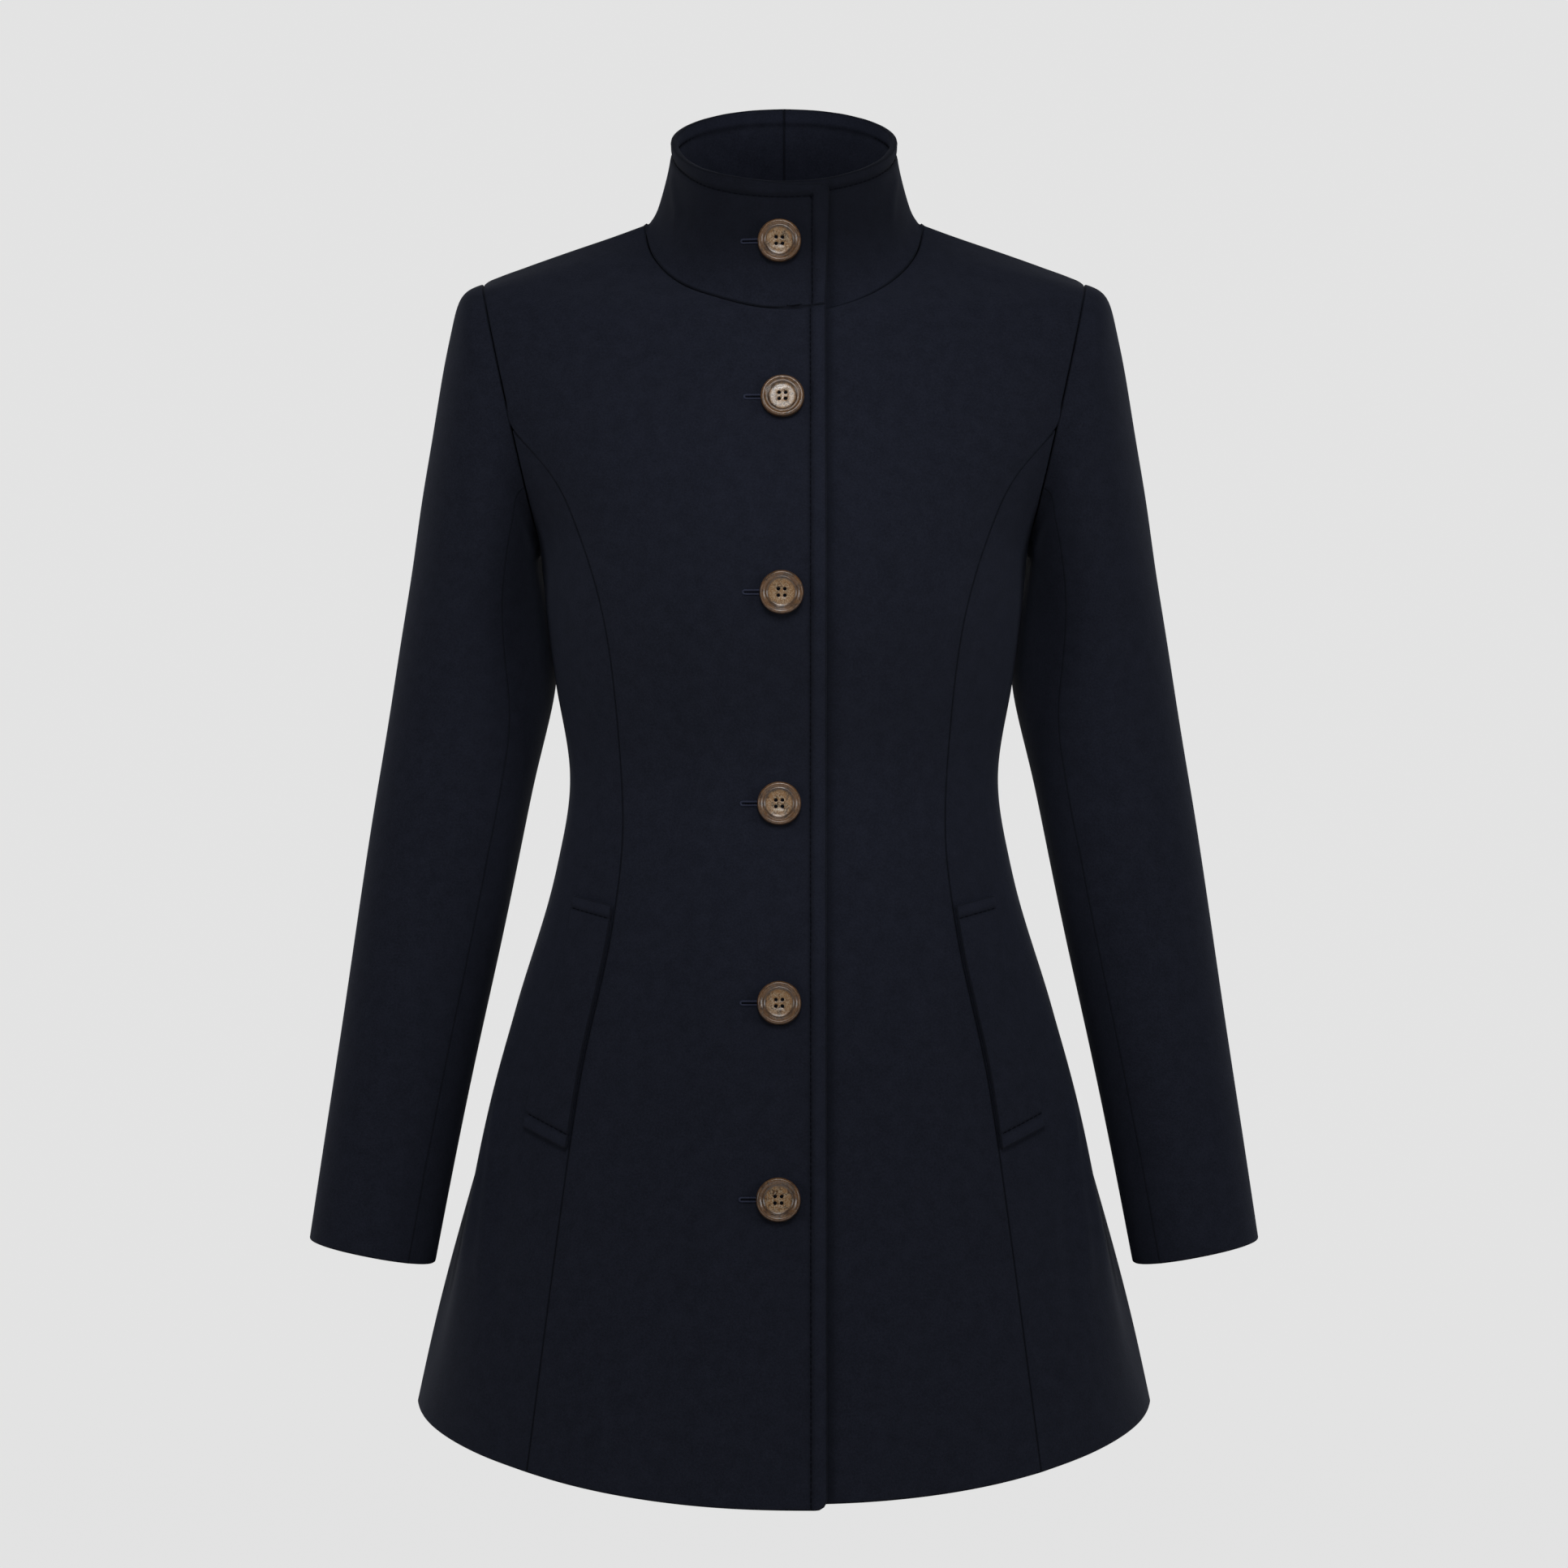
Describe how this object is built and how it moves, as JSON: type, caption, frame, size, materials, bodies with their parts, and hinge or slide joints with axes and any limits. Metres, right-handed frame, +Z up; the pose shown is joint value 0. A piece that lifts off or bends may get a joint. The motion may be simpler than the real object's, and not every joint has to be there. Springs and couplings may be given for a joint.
{
  "type": "coat",
  "caption": "Fitted thigh-length wool coat with a standing collar, set-in sleeves, princess seams, slanted welt pockets and a buttoned front, filled out as it is when worn.",
  "frame": {"origin": "middle of the neck opening, level with the points where the shoulder seams meet the collar, where the wearer's neck and shoulders hold the coat", "axes": "+Z up, the front faces -Y, the wearer's right side is -X"},
  "size_m": [0.6116, 0.3374, 0.8961],
  "materials": {
    "wool_cloth": "felted wool melton in navy blue, soft matt nap",
    "horn_button": "polished polyester in mottled brown horn colours"
  },
  "bodies": {
    "root": {"front_right": "wool_cloth", "front_left": "wool_cloth", "side_front_right": "wool_cloth", "side_front_left": "wool_cloth", "back_right": "wool_cloth", "back_left": "wool_cloth", "collar_right": "wool_cloth", "collar_left": "wool_cloth", "sleeve_top_right": "wool_cloth", "sleeve_top_left": "wool_cloth", "sleeve_under_right": "wool_cloth", "sleeve_under_left": "wool_cloth", "welt_right": "wool_cloth", "welt_left": "wool_cloth", "button_collar": "horn_button", "button_1": "horn_button", "button_2": "horn_button", "button_3": "horn_button", "button_4": "horn_button", "button_5": "horn_button"}
  },
  "joints": []
}
